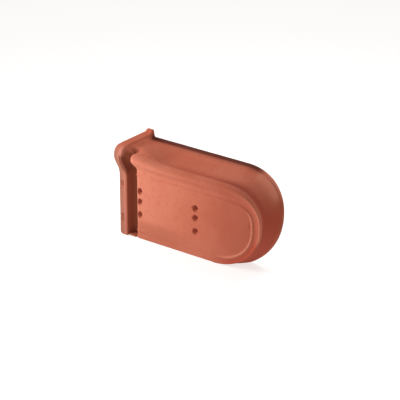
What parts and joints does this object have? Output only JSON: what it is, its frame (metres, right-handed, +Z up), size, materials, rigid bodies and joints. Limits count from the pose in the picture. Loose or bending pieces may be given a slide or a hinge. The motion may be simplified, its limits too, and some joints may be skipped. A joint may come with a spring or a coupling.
{
  "type": "clay verge tile",
  "caption": "Fired-clay verge tile with a hanging front plate, a top flange, a raised head collar with a channel beside it, nail holes, and a rounded closed tail open at the back.",
  "frame": {"origin": "middle of the tile's footprint, on the plane that it stands on", "axes": "+X from the head to the rounded tail, -Y the way the front plate faces, +Z up"},
  "size_m": [0.4124, 0.117, 0.235],
  "materials": {
    "fired_clay": "unglazed red terracotta, dry and matte, a little darker in the channel and on the tail"
  },
  "bodies": {
    "root": {"verge_tile": "fired_clay"}
  },
  "joints": []
}
